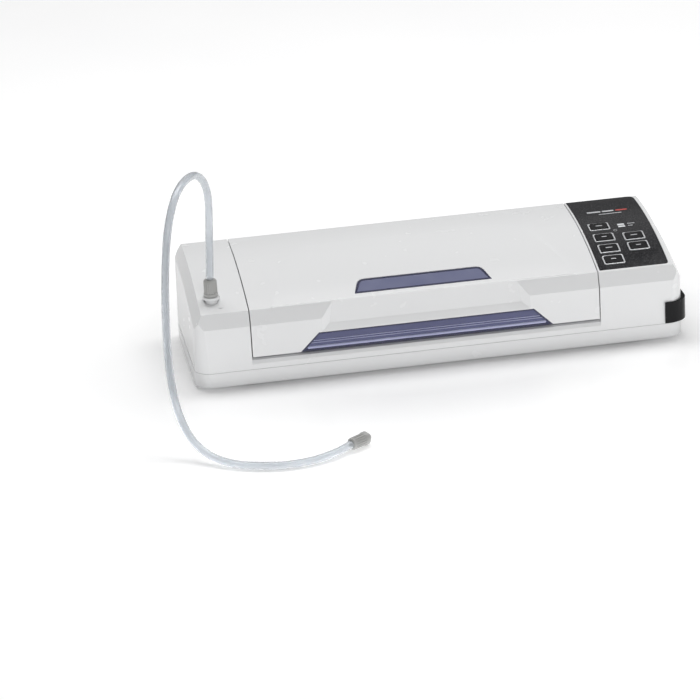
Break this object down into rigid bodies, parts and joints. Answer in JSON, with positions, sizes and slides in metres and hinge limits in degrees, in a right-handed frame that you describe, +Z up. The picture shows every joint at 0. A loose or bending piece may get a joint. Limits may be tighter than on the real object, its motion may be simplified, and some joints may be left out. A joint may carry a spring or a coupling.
{
  "type": "vacuum sealer",
  "caption": "Countertop vacuum sealer: long white casing, hinged lid with blue window strips, key panel on the right end block and a suction hose on the left one.",
  "frame": {"origin": "on the table, under the middle of the sealer", "axes": "+X to the user's right along the length, +Y towards the hinge at the rear, +Z up"},
  "size_m": [0.4953, 0.3439, 0.2191],
  "materials": {
    "white_shell": "glossy white ABS",
    "blue_shell": "translucent indigo blue plastic, glossy",
    "black_panel": "glossy black film with a very fine sparkle",
    "black_trim": "glossy black ABS",
    "key_black": "satin black",
    "chrome_trim": "bright silver",
    "led_lens": "clear-white lens",
    "circuit_board": "green laminate",
    "motor_metal": "grey metal",
    "grey_plastic": "mid grey plastic",
    "steel": "plain steel",
    "clear_tube": "clear flexible PVC",
    "sealing_tape": "brown non-stick glass cloth",
    "foam_gasket": "dark grey foam",
    "silicone": "light grey silicone",
    "rubber_foot": "black rubber"
  },
  "bodies": {
    "base": {"base_tray": "white_shell", "upper_housing": "white_shell", "accessory_port": "white_shell", "control_panel": "black_panel", "key_frame": "chrome_trim", "corner_band": "black_trim", "power_inlet": "black_trim", "lid_switch": "black_trim", "led_lens_upper": "led_lens", "led_lens_lower": "led_lens", "circuit_board": "circuit_board", "power_board": "circuit_board", "transformer": "motor_metal", "pump_motor": "motor_metal", "pump_head": "grey_plastic", "solenoid_valve": "steel", "suction_nozzle": "grey_plastic", "suction_tube": "clear_tube", "port_tube": "clear_tube", "sealing_bar": "grey_plastic", "heater_strip": "steel", "bar_tape": "sealing_tape", "lower_gasket": "foam_gasket", "hinge_pin_left": "steel", "hinge_pin_right": "steel", "hose": "clear_tube", "hose_plug": "grey_plastic", "hose_connector": "grey_plastic", "foot_front_left": "rubber_foot", "housing_screw_front_left": "steel", "foot_rear_left": "rubber_foot", "housing_screw_rear_left": "steel", "foot_front_right": "rubber_foot", "housing_screw_front_right": "steel", "foot_rear_right": "rubber_foot", "housing_screw_rear_right": "steel"},
    "lid": {"lid_cover": "white_shell", "lid_inner_shell": "blue_shell", "upper_gasket": "foam_gasket", "pressure_strip": "silicone"},
    "key_left_1": {"key_left_1": "key_black"},
    "key_left_2": {"key_left_2": "key_black"},
    "key_left_3": {"key_left_3": "key_black"},
    "key_left_4": {"key_left_4": "key_black"},
    "key_right_1": {"key_right_1": "key_black"},
    "key_right_2": {"key_right_2": "key_black"}
  },
  "joints": [
    {"name": "lid_hinge", "type": "hinge", "parent": "base", "child": "lid", "pos_m": [0, 0.064, 0.08], "axis": [-1, 0, 0], "range_deg": [0, 75]},
    {"name": "key_left_1_press", "type": "slide", "parent": "base", "child": "key_left_1", "axis": [0, 0.1456, -0.9894], "range_m": [0, 0.001], "stiffness_N_per_m": 300},
    {"name": "key_left_2_press", "type": "slide", "parent": "base", "child": "key_left_2", "axis": [0, 0.198, -0.9802], "range_m": [0, 0.001], "stiffness_N_per_m": 300},
    {"name": "key_left_3_press", "type": "slide", "parent": "base", "child": "key_left_3", "axis": [0, 0.2441, -0.9697], "range_m": [0, 0.001], "stiffness_N_per_m": 300},
    {"name": "key_left_4_press", "type": "slide", "parent": "base", "child": "key_left_4", "axis": [0, 0.2862, -0.9582], "range_m": [0, 0.001], "stiffness_N_per_m": 300},
    {"name": "key_right_1_press", "type": "slide", "parent": "base", "child": "key_right_1", "axis": [0, 0.2031, -0.9792], "range_m": [0, 0.001], "stiffness_N_per_m": 300},
    {"name": "key_right_2_press", "type": "slide", "parent": "base", "child": "key_right_2", "axis": [0, 0.2451, -0.9695], "range_m": [0, 0.001], "stiffness_N_per_m": 300}
  ]
}
